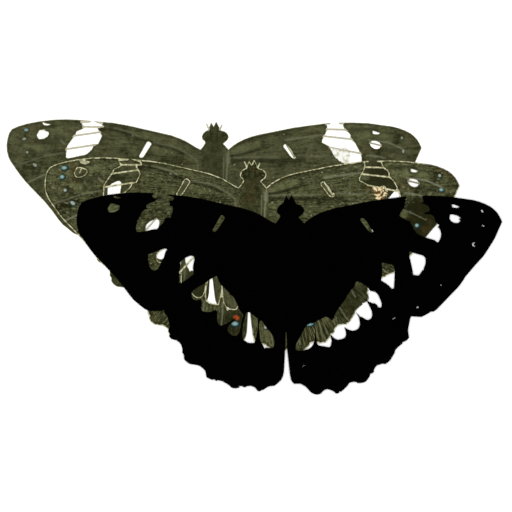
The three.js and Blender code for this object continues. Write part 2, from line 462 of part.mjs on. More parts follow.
// A printed sheet: a little smaller, with vein strips and the given barbs left across the windows
function printedSheet(barbs) {
  const windows = [...SHARED_WINDOWS, PRINTED_LEFT_BAND, PRINTED_RIGHT_BAND, PRINTED_APICAL_SPOT];
  const opened = joined(windows.map((runs) => cutter(loopPoints(runs, PRINTED_SCALE))));
  const veins = [...PRINTED_LEFT_STRIPS, ...PRINTED_RIGHT_STRIPS, ...HINDWING_STRIPS];
  const kept = veins.map((strip) => cutter(stripPoints(strip, VEIN_STRIP_WIDTH, PRINTED_SCALE)));
  for (const strip of [PRINTED_SPOT_STRIP, ...barbs]) {
    kept.push(cutter(stripPoints(strip, SPOT_STRIP_WIDTH, PRINTED_SCALE)));
  }
  kept.push(cutter(stripPoints(SLIT_LEDGE, SLIT_LEDGE_WIDTH, PRINTED_SCALE)));
  kept.push(cutter(loopPoints(RAGGED_SCRAP, PRINTED_SCALE)));
  const body = cardPlate(loopPoints(BUTTERFLY_OUTLINE, PRINTED_SCALE));
  const antennae = ANTENNA_STUBS.map((stub) => cardPlate(stripPoints(stub, ANTENNA_WIDTH, PRINTED_SCALE)));
  return joined([body, ...antennae]).subtract(opened.subtract(joined(kept)));
}

function sheetMesh(name, solid, colour, x, y, layer) {
  const material = new THREE.MeshStandardMaterial({ color: colour, roughness: CARD_ROUGHNESS, metalness: 0 });
  const mesh = new THREE.Mesh(geometryFrom(solid), material);
  mesh.name = name;
  mesh.position.set(x, y, layer * SHEET_THICKNESS);
  return mesh;
}

const stack = new THREE.Group();
const rear = printedSheet([]);
const middle = printedSheet([SPOT_BARB]);
stack.add(sheetMesh('rear_printed_sheet', rear, REAR_COLOUR, REAR_SHIFT_X, REAR_SHIFT_Y, 0));
stack.add(sheetMesh('middle_printed_sheet', middle, MIDDLE_COLOUR, MIDDLE_SHIFT_X, MIDDLE_SHIFT_Y, 1));
stack.add(sheetMesh('front_black_sheet', blackSheet(), FRONT_COLOUR, 0, 0, 2));

// The stack is centred over its own origin, which lies on the underside
const centre = new THREE.Box3().setFromObject(stack).getCenter(new THREE.Vector3());
const butterflyStack = new THREE.Group();
butterflyStack.add(stack);
stack.position.set(-centre.x, -centre.y, 0);

export default butterflyStack;
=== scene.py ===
import math

import bpy
import numpy as np
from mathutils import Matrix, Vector
from mathutils.geometry import delaunay_2d_cdt
from mathutils.kdtree import KDTree


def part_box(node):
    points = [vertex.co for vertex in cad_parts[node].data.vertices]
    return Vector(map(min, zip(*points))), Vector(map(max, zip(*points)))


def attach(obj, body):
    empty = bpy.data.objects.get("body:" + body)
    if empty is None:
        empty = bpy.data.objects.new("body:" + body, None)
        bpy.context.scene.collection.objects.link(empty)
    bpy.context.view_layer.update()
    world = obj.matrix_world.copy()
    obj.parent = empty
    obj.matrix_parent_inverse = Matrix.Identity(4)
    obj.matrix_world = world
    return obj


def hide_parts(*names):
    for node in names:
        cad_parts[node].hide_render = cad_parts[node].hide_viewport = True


# A layered butterfly cut-out: three cut sheets of card, each over its own CAD node
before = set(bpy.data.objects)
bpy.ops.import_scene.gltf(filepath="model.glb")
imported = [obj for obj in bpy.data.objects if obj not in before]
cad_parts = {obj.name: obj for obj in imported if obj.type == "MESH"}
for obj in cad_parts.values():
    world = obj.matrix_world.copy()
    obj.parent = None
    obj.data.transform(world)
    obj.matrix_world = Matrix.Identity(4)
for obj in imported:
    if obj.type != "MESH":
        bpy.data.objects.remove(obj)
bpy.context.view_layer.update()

# Sizes in millimetres, unless a name says otherwise
MM = 0.001
PRINTED_SCALE = 0.976
FRONT_SCALE = 1.0
# The outline's right wing tip and its lowest lobe, from the butterfly's own origin
RIGHT_TIP_X = 42.4
LOWEST_LOBE_Y = -23.9

# The mesh of a sheet. Its form is the width and the drop of its worn rim, and the spacing of its points.
REAR_FORM = (0.16, 0.03, 0.34)
MIDDLE_FORM = (0.2, 0.07, 0.34)
FRONT_FORM = (0.1, 0.03, 0.9)
CONTOUR_STEP = 0.3
CONTOUR_SAMPLE_STEP = 0.08
# Points nearer than this to others are left out. A share is of the rim's width or of the spacing.
CLOSEST_POINTS = CONTOUR_STEP / 3
LINE_CLEARANCE = CONTOUR_STEP / 4
RIM_CLEARANCE_SHARE = 0.93
LATTICE_CLEARANCE_SHARE = 0.55
LATTICE_SHIFT_SHARE = 0.2
# Rings of points round a spot, as shares of its radii
SPOT_RING_SIZES = (0.7, 1.0, 1.5)
SPOT_RING_POINTS = 10
WELD_STEP = 1e-4
MERGE_DISTANCE = 1e-7
TINY = 1e-9
# How far a cut side is worn in at most, and at which share of the sheet's height
WORN_DEPTH = 0.03
WORN_HEIGHT_SHARE = 0.55
SEED = 11

# The view, from straight above. The frame is this wide at the height of the view's plane.
VIEW_WIDTH = 102.4
VIEW_PLANE_HEIGHT = 2.0
CAMERA_DISTANCE = 1500.0
SENSOR_WIDTH = 36.0
VIEW_CENTRE_FROM_FRONT_SHEET = (-6.8, 3.8)

# How light a flat white surface is under the lights, which sets the albedo of a colour as seen
LIGHT_LEVEL = 1.22
SOFTBOX_SIZE_M = 0.4
SOFTBOX_HEIGHT_M = 1.9
SOFTBOX_WATTS = 38.8
WORLD_STRENGTH = 0.13
FLOOR_SIZE_M = 4.0
FLOOR_DROP_M = 0.00005

# The print, in millimetres from the butterfly's own origin at the level of its wing centres.
# A stroke is its points, its half width and its strength.
PALE_STROKES = [
    ([(-41.2, 6.9), (-38.0, 7.9), (-35.3, 8.85), (-32.4, 9.5), (-30.9, 9.7)], 0.13, 0.5),
    ([(-38.4, 3.5), (-35.3, 5.0), (-32.8, 6.1), (-30.0, 6.9)], 0.14, 0.9),
    ([(-34.6, 0.1), (-31.5, 1.8), (-28.6, 3.2)], 0.14, 0.5),
    ([(-30.2, -4.4), (-26.5, -2.2), (-23.0, -0.6)], 0.14, 0.6),
    ([(-31.6, 12.3), (-30.8, 11.4)], 0.15, 0.75),
    ([(-20.6, 14.75), (-19.3, 14.4), (-17.3, 13.75), (-15.6, 13.1)], 0.14, 0.5),
    ([(-12.6, 11.75), (-10.6, 11.35), (-9.1, 11.15), (-7.6, 10.55), (-5.8, 9.55), (-4.3, 8.6),
      (-3.7, 8.0), (-3.5, 7.2), (-3.45, 5.8)], 0.13, 0.52),
    ([(31.2, 9.1), (32.5, 9.05), (33.8, 8.8), (34.8, 8.55)], 0.14, 0.85),
    ([(31.6, 12.2), (33.6, 12.05), (35.5, 11.75), (37.0, 11.15), (38.4, 10.5), (39.2, 9.9)], 0.15, 0.95),
    ([(27.4, 1.7), (30.5, 0.2), (33.0, -1.6)], 0.14, 0.6),
    ([(26.3, -6.2), (28.0, -7.4)], 0.1, 0.8),
    ([(14.6, 12.3), (17.5, 12.75), (20.0, 13.05), (22.0, 13.3)], 0.14, 0.8),
    ([(4.0, 8.7), (8.0, 8.75), (12.8, 8.75)], 0.16, 0.5),
    ([(17.0, 9.1), (21.2, 9.0), (23.4, 9.2)], 0.14, 0.5),
    ([(2.8, 10.0), (2.75, 8.2), (2.5, 6.4), (2.4, 4.2)], 0.13, 0.85),
    ([(2.72, 9.0), (2.72, 7.8)], 0.32, 0.9),
    ([(1.8, 8.6), (1.75, 4.0)], 0.1, 0.6),
    ([(-6.15, -13.2), (-6.2, -15.5), (-6.45, -18.2), (-6.9, -21.0)], 0.12, 0.72),
    ([(-10.0, -13.2), (-10.4, -16.4), (-11.6, -20.2)], 0.12, 0.6),
    ([(-14.6, -11.0), (-16.2, -14.2), (-17.6, -16.8)], 0.12, 0.5),
    ([(-18.3, -7.6), (-20.4, -10.0), (-22.4, -11.4)], 0.12, 0.5),
    ([(5.4, -15.2), (5.0, -19.0), (5.2, -22.2)], 0.14, 0.6),
    ([(9.0, -14.0), (9.4, -18.2), (9.7, -21.8)], 0.12, 0.6),
    ([(13.4, -16.8), (14.0, -18.8), (14.8, -21.0)], 0.09, 0.7),
    ([(17.8, -14.3), (18.9, -16.1), (20.0, -17.3)], 0.09, 0.75),
    ([(20.2, -10.7), (21.0, -12.1)], 0.09, 0.7),
    ([(-6.2, 2.0), (-10.4, -3.0), (-12.6, -4.6)], 0.14, 0.5),
    ([(6.2, 2.0), (9.6, -3.6), (10.2, -5.4)], 0.14, 0.5),
]
MIDDLE_OWN_STROKES = [
    ([(30.7, 5.85), (32.5, 5.1), (34.2, 4.3), (35.5, 3.65)], 0.08, 0.65),
]
DARK_STROKES = [
    ([(-23.4, 14.6), (-21.0, 14.35), (-19.5, 14.0), (-17.5, 13.35), (-15.7, 12.5), (-13.5, 11.95),
      (-11.5, 11.2), (-9.9, 10.85), (-7.9, 10.2), (-6.4, 9.3)], 0.26, 0.65),
    ([(-21.4, 15.3), (-18.0, 14.85)], 0.36, 0.6),
    ([(-36.8, 12.0), (-33.8, 11.95), (-31.0, 12.5)], 0.4, 0.6),
    ([(-34.0, 9.95), (-31.2, 10.05)], 0.3, 0.4),
    ([(-37.9, 9.9), (-37.0, 9.6)], 0.4, 0.5),
    ([(-35.5, 15.0), (-33.0, 14.95)], 0.22, 0.6),
    ([(-31.8, 15.9), (-28.4, 15.8)], 0.35, 0.25),
    ([(-23.4, 14.5), (-22.6, 14.4)], 0.4, 0.8),
    ([(3.2, 9.0), (4.6, 9.0), (6.0, 9.4), (7.6, 9.95), (9.2, 10.4)], 0.22, 0.7),
    ([(3.3, 8.0), (9.0, 8.1), (13.0, 8.05), (18.4, 8.1)], 0.3, 0.7),
    ([(4.5, 11.45), (8.5, 12.75), (13.5, 13.9), (19.0, 14.9)], 0.28, 0.5),
    ([(9.8, 11.9), (9.9, 11.1)], 0.36, 0.6),
    ([(28.0, 14.35), (33.0, 14.45)], 0.3, 0.55),
    ([(34.5, 13.85), (37.5, 13.55)], 0.18, 0.5),
    ([(34.2, 10.4), (37.6, 9.9)], 0.5, 0.5),
    ([(30.2, 12.0), (31.5, 11.8)], 0.4, 0.5),
    ([(2.15, 7.0), (2.1, 4.4)], 0.14, 0.2),
    ([(-0.9, 14.2), (-0.6, 12.0)], 0.16, 0.6),
    ([(0.55, 14.2), (0.5, 12.4)], 0.16, 0.6),
    ([(-4.4, -17.05), (-3.6, -16.25)], 0.1, 1.0),
    ([(20.5, -10.2), (22.4, -11.9)], 0.12, 0.9),
    ([(22.9, -12.5), (23.4, -12.95)], 0.1, 1.0),
]
# A stroke whose half width is below this gets points of its own in the mesh
FINE_STROKE_LIMIT = 0.5

# The grain of each wing fans out from a pole. Its X counts outwards from the body, on both sides.
FOREWING_POLE = (-15.0, 7.0)
HINDWING_POLE = (2.0, 12.0)
FOREWING_GRAIN_RADIUS = 36.0
HINDWING_GRAIN_RADIUS = 30.0
# The hindwing lies below a line that falls outwards from this height
HINDWING_TOP_Y = 1.5
HINDWING_TOP_FALL = 0.38
# The body narrows below this height
BODY_HALF_WIDTH = 3.0
BODY_TAPER = 0.12
BODY_TAPER_TOP_Y = 4.0
BODY_GRAIN_ALONG = 3.0
BODY_GRAIN_ACROSS = 0.45
# Numbers that keep the noise of the wings apart from each other
FOREWING_REGION = 10.0
HINDWING_REGION = 20.0

# An area is its centre, its two radii, the turn of the first radius in degrees and its strength.
# Strengths above zero are lighter, below zero darker. An area fades over a range of its spot value.
AREA_FADE = (0.38, 0.68)
TONE_AND_SHADE_AREAS = [
    ((0.0, 5.0), 2.8, 12.0, 0, -0.28),
    ((-2.0, 13.1), 0.8, 1.0, 0, -0.3),
    ((2.2, 13.1), 0.8, 1.0, 0, -0.35),
    ((6.3, 10.75), 3.4, 0.8, 17, 0.5),
    ((-11.4, 10.1), 2.0, 0.8, -15, 0.25),
    ((-13.6, 13.15), 2.6, 0.5, -15, 0.3),
    ((-8.0, 8.0), 4.0, 0.8, -8, -0.35),
    ((-36.4, 10.4), 0.9, 0.9, 0, 0.35),
    ((-32.3, 14.2), 1.6, 0.7, 20, 0.25),
    ((-38.9, 15.2), 1.6, 0.8, 15, -0.2),
    ((37.3, 12.2), 0.9, 1.4, -25, -0.55),
    ((33.0, 13.0), 3.0, 0.6, -3, 0.25),
    ((12.5, 7.3), 7.0, 0.8, 0, -0.25),
    # Painted shade: the right forewing of both printed sheets is darkened here, where the black sheet's band
    # lies over it
    ((34.5, 3.4), 4.4, 5.2, 0, -0.62),
    ((31.0, 4.7), 0.9, 0.8, 0, 0.75),
    ((19.6, -13.4), 2.5, 3.8, -25, -0.4),
    ((23.3, -10.4), 1.3, 1.5, 0, -0.3),
    ((-4.4, -17.4), 3.2, 3.0, 0, -0.42),
    ((-36.5, 12.8), 6.0, 3.0, 0, 0.18),
    ((-37.3, 7.8), 2.2, 1.8, 0, -0.2),
    ((-38.8, 5.2), 3.2, 2.6, 0, -0.2),
    ((-28.4, 6.2), 1.6, 1.2, 0, 0.3),
    ((-20.5, 4.6), 3.4, 1.4, 10, -0.25),
    ((-18.0, 8.8), 3.0, 1.6, 0, -0.15),
    ((-31.0, 7.8), 4.5, 1.0, 0, -0.15),
    ((22.6, 3.0), 1.5, 2.0, 0, 0.3),
    ((29.2, 13.6), 3.4, 2.6, 0, 0.42),
    ((35.5, 13.2), 2.0, 1.3, -10, 0.4),
    ((-28.5, 14.9), 1.4, 1.0, 0, 0.4),
    ((20.0, 14.7), 1.8, 0.8, 10, 0.35),
    ((-41.3, 12.6), 1.2, 1.8, 0, 0.2),
    ((28.0, 8.8), 0.9, 1.8, -30, -0.5),
    ((2.5, -22.3), 1.5, 1.2, 0, -0.3),
    ((9.5, -22.6), 2.5, 1.0, 0, -0.3),
    ((2.3, 8.0), 0.6, 4.0, 0, 0.25),
    ((-1.4, -19.7), 1.8, 1.7, 0, -0.4),
    ((3.9, 4.9), 1.2, 1.2, 0, -0.2),
    ((10.6, 3.4), 1.2, 1.2, 0, -0.15),
    ((27.4, -6.2), 1.8, 1.6, 0, -0.4),
    ((12.5, -19.5), 4.5, 3.5, 0, -0.5),
    ((-26.5, -8.5), 2.5, 2.0, 0, -0.2),
    ((-19.2, -16.4), 2.6, 2.2, 0, -0.5),
]
# Where the print is calm
CALM_AREAS = [
    # Calm print inside the painted shade of the right forewing
    ((34.5, 3.4), 4.6, 5.4, 0, 0.8),
    ((19.6, -13.4), 2.6, 4.0, -25, 0.8),
    ((22.4, -11.2), 2.2, 2.4, 0, 0.8),
    ((-4.6, -17.4), 3.4, 3.2, 0, 0.8),
    ((12.5, -19.5), 4.5, 3.5, 0, 0.6),
    ((0.0, 5.0), 2.8, 12.0, 0, 0.8),
]
# Where fine yellowish streaks fan out over the print
STREAKED_AREAS = [
    ((14.6, -19.2), 2.8, 2.8, 0, 1.0),
    ((10.6, -20.2), 2.4, 3.4, 0, 1.0),
    ((3.0, -20.2), 1.9, 3.4, 0, 1.0),
    ((0.4, -18.4), 1.2, 3.0, 0, 0.8),
    ((-19.4, -16.4), 2.4, 2.4, 0, 0.6),
    ((-4.6, -12.6), 1.8, 2.4, 0, 1.0),
    ((7.6, 6.0), 8.0, 2.0, 0, 0.5),
]
# Where the cut edge shows no cream line
BARE_AREAS = [
    ((38.5, 12.6), 4.6, 3.4, -25, 1.0),
    ((33.1, 13.75), 1.5, 0.6, 0, 1.0),
    ((33.0, 11.25), 1.6, 1.3, 0, 1.0),
    ((-0.9, -18.0), 1.0, 5.0, 0, 1.0),
    ((37.3, 2.2), 5.5, 1.2, 50, 0.9),
    ((24.4, 1.6), 0.8, 1.8, 0, 1.0),
    ((-20.6, 1.6), 2.4, 3.2, 0, 0.8),
    ((-27.0, 3.2), 2.4, 2.6, 0, 0.8),
    ((22.6, -13.9), 3.6, 1.2, 55, 0.7),
    ((28.2, 8.6), 0.8, 1.6, -30, 0.8),
]
# A spot is its centre, its two radii and the turn of the first radius in degrees
MIDDLE_BLUE_SPOTS = [
    ((-38.65, 14.35), 0.6, 0.38, 5),
    ((-39.08, 12.5), 0.48, 0.4, 10),
    ((38.62, 9.85), 0.44, 0.34, 0),
    ((33.62, 2.55), 0.4, 0.38, 0),
    ((-3.65, -17.6), 0.7, 0.44, 0),
    ((11.75, -17.72), 0.7, 0.31, 15),
]
MIDDLE_PALE_SPOTS = [
    ((-38.45, 9.76), 0.34, 0.33, 0),
    ((-36.9, 7.12), 0.56, 0.36, -35),
    ((38.3, 12.75), 0.3, 0.34, 20),
    ((2.6, -18.35), 0.3, 0.32, 0),
]
REAR_BLUE_SPOTS = [
    ((-38.67, 14.34), 0.48, 0.3, 0),
]
REAR_PALE_SPOTS = [
    ((-39.07, 12.5), 0.42, 0.26, 15),
    ((-38.45, 9.76), 0.26, 0.27, 0),
    ((-36.88, 7.15), 0.5, 0.32, -35),
    ((38.35, 12.7), 0.22, 0.3, 0),
    ((38.65, 9.95), 0.26, 0.4, 0),
]
PALE_SPECKS = [
    ((-16.87, 13.1), 0.24, 0.15, 20),
    ((-9.9, 10.07), 0.16, 0.15, 0),
    ((-6.7, 7.3), 0.2, 0.15, 0),
    ((14.2, 13.4), 0.22, 0.15, 0),
    ((4.0, 7.2), 0.24, 0.2, 0),
    ((12.0, 4.6), 0.2, 0.15, 0),
    ((-8.8, 9.6), 0.18, 0.14, 0),
    ((20.5, 7.0), 0.25, 0.14, 10),
    ((19.9, 9.15), 0.2, 0.12, 0),
]
RED_SPOT = [((-3.35, -16.38), 0.68, 0.52, -20)]
BROWN_PATCHES = [
    ((-37.0, 14.5), 1.2, 1.2, 20),
    ((-36.8, 11.9), 0.9, 0.8, 60),
    ((-30.8, 10.0), 0.6, 1.6, 0),
    ((39.8, 13.4), 2.6, 0.8, -30),
    ((23.6, 10.3), 0.7, 1.1, 40),
    ((14.4, 9.8), 0.4, 1.2, 35),
    ((31.6, 10.4), 1.8, 1.0, 0),
    ((27.2, -7.2), 0.9, 0.8, 0),
    ((35.6, 1.6), 1.1, 1.1, 0),
    ((2.8, -19.7), 0.5, 0.4, 0),
]
MIDDLE_BODY_PATCHES = [
    ((-0.4, 9.6), 0.8, 2.6, 0),
    ((0.4, 13.9), 0.9, 0.5, 0),
]
# Bare card beside the right cell slit, and at the foot of the left band
SLIT_LEDGE = ((15.62, 10.0), 1.5, 0.17, -58)
SLIVER_BACKING = ((-26.7, 7.85), 1.1, 0.5, -12)
# Thin card that shows light: the strips across the windows, the front edges of the bands,
# the antenna stubs and the barb near the left tip. One strip near the right tip is olive.
LIGHT_STRIPS = [
    ((-27.3, 15.0), (-22.5, 14.92)),
    ((-29.4, 13.05), (-23.0, 13.97)),
    ((-31.0, 10.3), (-24.5, 11.3)),
    ((22.7, 14.5), (27.2, 14.35)),
    ((22.0, 13.1), (28.4, 12.4)),
    ((23.6, 10.75), (30.4, 9.42)),
    ((-13.6, -1.6), (-18.2, -5.2)),
    ((-11.7, -3.5), (-15.2, -7.35)),
    ((12.6, -2.2), (15.5, -5.3)),
    ((11.2, -4.2), (14.2, -8.5)),
    ((8.7, -8.1), (11.2, -10.8)),
    ((8.0, -8.6), (8.35, -12.6)),
    ((4.95, -9.2), (5.15, -11.6)),
    ((-1.15, 14.35), (-1.72, 15.6)),
    ((1.05, 14.4), (1.48, 15.35)),
    ((-27.5, 16.0), (-25.4, 15.95)),
    ((-24.9, 16.05), (-23.2, 15.75)),
    ((22.9, 15.55), (23.8, 15.55)),
    ((25.4, 15.65), (26.3, 15.65)),
    ((-34.95, 14.45), (-35.5, 13.3)),
]
OLIVE_STRIP = ((31.6, 11.75), (34.3, 11.08))
STRIP_HALF_WIDTH = 0.2
# The dark ring of a spot is this much larger than the spot, and lies to its lower right
RING_SIZE = 1.6
RING_OFFSET = (0.14, -0.1)
# The ragged scrap in the lowest cell of the right band, and the dull line along its upper edge
MIDDLE_SCRAP = [
    (24.4, 10.7), (25.2, 8.1), (26.0, 7.4), (26.7, 7.8), (27.5, 9.2), (27.6, 10.7), (26.0, 10.9),
]
REAR_SCRAP = [
    (23.7, 10.7), (24.4, 9.2), (25.0, 8.4), (25.9, 7.9),
    (26.9, 7.2), (28.6, 7.2), (28.6, 10.8), (26.0, 10.9),
]
SCRAP_LINE = ((23.6, 10.75), (28.4, 9.85))
SCRAP_LINE_HALF_WIDTH = 0.11

# How often the noise changes along the grain of the print, across it and from region to region
STREAK_GRAIN = (0.3, 2.0, 1.0)
FIBRE_GRAIN = (1.1, 3.2, 1.0)
DASH_GRAIN = (1.1, 3.6, 1.0)
VEIN_GRAIN = (1.1, 4.0, 1.0)
LINE_GRAIN = (0.4, 4.2, 1.0)
# How often it changes along the layers of a cut side and across them
CORE_LAYERS = (0.4, 0.4, 9.0)
# How much of the texture is left where the print is calm
CALM_TEXTURE_SHARE = 0.35
# How softly the flecks of the scrap end
SCRAP_FADE = 0.06

# Finishes of the card
PRINT_ROUGHNESS = 0.85
CARD_ROUGHNESS = 0.9
PRINT_SPECULAR = 0.04
CORE_SPECULAR = 0.05
CARD_SPECULAR = 0.03
BUMP_STRENGTH = 0.5
FACE_RELIEF_M = 0.00002
CORE_RELIEF_M = 0.00003


def linear(channel):
    """The linear value of one sRGB channel from 0 to 255."""
    c = channel / 255
    return c / 12.92 if c <= 0.04045 else ((c + 0.055) / 1.055) ** 2.4


def seen(red, green, blue):
    """The albedo that is seen as this sRGB colour under the scene's light."""
    return (*(linear(c) / LIGHT_LEVEL for c in (red, green, blue)), 1.0)


def grey(value):
    """A neutral albedo."""
    return (value, value, value, 1.0)


# Contours of a CAD sheet


def top_contours(node):
    """The closed contours of a node's top face in millimetres, with the card to the left of each."""
    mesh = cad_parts[node].data
    corner = np.array([v.co for v in mesh.vertices]) / MM
    top = corner[:, 2].max()
    weld = {}
    welded = [weld.setdefault(tuple(np.round(c / WELD_STEP).astype(int)), i) for i, c in enumerate(corner)]
    follows = {}
    mesh.calc_loop_triangles()
    edges = set()
    for triangle in mesh.loop_triangles:
        if any(corner[i, 2] < top - WELD_STEP for i in triangle.vertices):
            continue
        a, b, c = (welded[i] for i in triangle.vertices)
        edges |= {(a, b), (b, c), (c, a)}
    for a, b in edges:
        if (b, a) not in edges:
            follows[a] = b
    contours = []
    while follows:
        start, at = follows.popitem()
        contour = [start]
        while at != start:
            contour.append(at)
            at = follows.pop(at)
        contours.append(corner[contour, :2])
    return sorted(contours, key=lambda points: points.tolist()), top


def resampled(contour, step):
    """The contour with extra points, at most a step apart, on its own straight edges."""
    points = []
    for start, end in zip(contour, np.roll(contour, -1, axis=0)):
        count = max(1, math.ceil(np.linalg.norm(end - start) / step))
        points += [start + (end - start) * i / count for i in range(count)]
    return np.array(points)


def inward(contour):
    """The unit direction into the card at each point of a contour."""
    along = np.roll(contour, -1, axis=0) - np.roll(contour, 1, axis=0)
    side = np.column_stack([-along[:, 1], along[:, 0]])
    return side / np.maximum(np.linalg.norm(side, axis=1, keepdims=True), TINY)


def is_inside(points, contours):
    """Whether each point lies on the card, by the crossings of a ray along +X."""
    inside = np.zeros(len(points), bool)
    x, y = points[:, 0], points[:, 1]
    for contour in contours:
        for (x0, y0), (x1, y1) in zip(contour, np.roll(contour, -1, axis=0)):
            if y0 == y1:
                continue
            crosses = (y0 > y) != (y1 > y)
            inside ^= crosses & (x < x0 + (y - y0) * (x1 - x0) / (y1 - y0))
    return inside


def tree_of(points):
    """A search tree of flat points."""
    tree = KDTree(len(points))
    for i, (x, y) in enumerate(points):
        tree.insert((x, y, 0), i)
    tree.balance()
    return tree


def distances(points, tree):
    """How far each point is from the nearest one in the tree."""
    return np.array([tree.find((x, y, 0))[2] for x, y in points])


def spaced(points, gap):
    """The points without those that share a cell of that size with an earlier one."""
    taken = {}
    for x, y in points:
        taken.setdefault((round(x / gap), round(y / gap)), (x, y))
    return np.array(list(taken.values())).reshape(-1, 2)


# The print as values at points


def distance_to_line(points, stops):
    """The distance from each point to a line of straight stretches."""
    nearest = np.full(len(points), np.inf)
    for start, end in zip(np.array(stops[:-1]), np.array(stops[1:])):
        along = end - start
        t = np.clip(((points - start) @ along) / (along @ along), 0, 1)
        nearest = np.minimum(nearest, np.linalg.norm(points - start - t[:, None] * along, axis=1))
    return nearest


def stroke_values(points, strokes):
    """The strongest of the strokes at each point. A stroke fades out at twice its half width."""
    value = np.zeros(len(points))
    for stops, half_width, strength in strokes:
        share = np.clip(1 - distance_to_line(points, stops) / (2 * half_width), 0, 1)
        value = np.maximum(value, strength * np.minimum(share * 2, 1) * share ** 0.5)
    return value


def spot_values(points, spots, reach=1.0):
    """One at the middle of a spot, a half at its rim and zero at twice its radii."""
    value = np.zeros(len(points))
    for centre, first, second, turn in spots:
        angle = math.radians(turn)
        offset = points - np.array(centre)
        along = offset @ np.array([math.cos(angle), math.sin(angle)]) / (first * reach)
        across = offset @ np.array([-math.sin(angle), math.cos(angle)]) / (second * reach)
        value = np.maximum(value, np.clip(1 - np.hypot(along, across) / 2, 0, 1))
    return value


def area_values(points, areas):
    """The sum of the soft areas at each point."""
    value = np.zeros(len(points))
    for centre, first, second, turn, strength in areas:
        share = spot_values(points, [(centre, first, second, turn)])
        value += strength * soft_step(share, *AREA_FADE)
    return value


def soft_step(value, low, high):
    """Zero below a range, one above it and smooth between."""
    t = np.clip((value - low) / (high - low), 0, 1)
    return t * t * (3 - 2 * t)


def grain_directions(points):
    """Coordinates along and across the grain of the print, which fans out in each wing."""
    x, y = points[:, 0], points[:, 1]
    side = np.where(x < 0, -1.0, 1.0)
    out = np.abs(x)
    hind = y < HINDWING_TOP_Y - HINDWING_TOP_FALL * out
    pole_x = np.where(hind, HINDWING_POLE[0], FOREWING_POLE[0])
    pole_y = np.where(hind, HINDWING_POLE[1], FOREWING_POLE[1])
    radius = np.where(hind, HINDWING_GRAIN_RADIUS, FOREWING_GRAIN_RADIUS)
    along = np.hypot(out - pole_x, y - pole_y)
    across = np.arctan2(y - pole_y, out - pole_x) * radius
    body = out < BODY_HALF_WIDTH - BODY_TAPER * np.maximum(0, BODY_TAPER_TOP_Y - y)
    along = np.where(body, y * BODY_GRAIN_ALONG, along)
    across = np.where(body, x * BODY_GRAIN_ACROSS, across)
    region = np.where(body, 0.0, side * np.where(hind, HINDWING_REGION, FOREWING_REGION))
    return np.column_stack([along, across, region])


def feature_points(look):
    """Points that the mesh needs so that it can hold the print's lines and spots."""
    points = []
    for stops, half_width, _ in PALE_STROKES + look["own_strokes"] + DARK_STROKES:
        if half_width < FINE_STROKE_LIMIT:
            centre_line = points_along(stops, CONTOUR_STEP)
            points += centre_line
            points += beside(centre_line, half_width) + beside(centre_line, 2 * half_width)
    for centre, first, second, turn in look["blue_spots"] + look["pale_spots"] + PALE_SPECKS + RED_SPOT:
        points.append(np.array(centre))
        for size in SPOT_RING_SIZES:
            for i in range(SPOT_RING_POINTS):
                angle = 2 * math.pi * i / SPOT_RING_POINTS
                x, y = size * first * math.cos(angle), size * second * math.sin(angle)
                points.append(turned(x, y, turn) + np.array(centre))
    return np.array(points)


def points_along(stops, step):
    """Points along an open line, at most a step apart."""
    points = []
    for start, end in zip(np.array(stops[:-1]), np.array(stops[1:])):
        count = max(1, math.ceil(np.linalg.norm(end - start) / step))
        points += [start + (end - start) * i / count for i in range(count)]
    return points + [np.array(stops[-1])]


def beside(line, distance):
    """The points of a line moved to both of its sides by that distance."""
    along = np.gradient(np.array(line), axis=0)
    side = np.column_stack([-along[:, 1], along[:, 0]])
    side *= distance / np.maximum(np.linalg.norm(side, axis=1, keepdims=True), TINY)
    return list(np.array(line) + side) + list(np.array(line) - side)


def turned(x, y, degrees):
    """A point turned about the origin."""
    c, s = math.cos(math.radians(degrees)), math.sin(math.radians(degrees))
    return np.array([x * c - y * s, x * s + y * c])


# A sheet of card


def triangles_of(points, contour_edges, contours):
    """Counterclockwise triangles that fill the card between its contours."""
    vectors = [Vector((x, y)) for x, y in points]
    _, _, faces, origins, _, _ = delaunay_2d_cdt(vectors, contour_edges, [], 0, MERGE_DISTANCE)
    back = [origin[0] for origin in origins]
    corners = np.array([[back[i] for i in face] for face in faces if len(face) == 3])
    middle = points[corners].mean(axis=1)
    corners = corners[is_inside(middle, contours)]
    a, b, c = (points[corners[:, k]] for k in range(3))
    area = (b[:, 0] - a[:, 0]) * (c[:, 1] - a[:, 1]) - (b[:, 1] - a[:, 1]) * (c[:, 0] - a[:, 0])
    corners[area < 0] = corners[area < 0][:, ::-1]
    return corners[np.abs(area) > TINY]


def joined(contours):
    """The points of all contours in one list, and the edges between them."""
    edges = []
    start = 0
    for contour in contours:
        count = len(contour)
        edges += [(start + i, start + (i + 1) % count) for i in range(count)]
        start += count
    return np.vstack(contours), edges


def face_points(contours, fine, edge_tree, rim, spacing, features):
    """Points over the face: its border, a row along the rim, the print's own points and a lattice."""
    row = np.vstack([contour + inward(contour) * rim for contour in fine])
    row = spaced(row[is_inside(row, contours)], CLOSEST_POINTS)
    kept = [np.vstack(fine), row[distances(row, edge_tree) > rim * RIM_CLEARANCE_SHARE]]
    if len(features):
        features = spaced(features, CLOSEST_POINTS)
        features = features[is_inside(features, contours)]
        kept.append(features[distances(features, edge_tree) > rim + LINE_CLEARANCE])
    lattice = jittered_lattice(contours, spacing)
    lattice = lattice[is_inside(lattice, contours)]
    far = distances(lattice, tree_of(np.vstack(kept))) > spacing * LATTICE_CLEARANCE_SHARE
    return np.vstack(kept + [lattice[far]])


def wall_faces(edges, upper, lower):
    """The faces between two rows of border points, from the number of each row's first point."""
    return [(upper + i, lower + i, lower + j, upper + j) for i, j in edges]


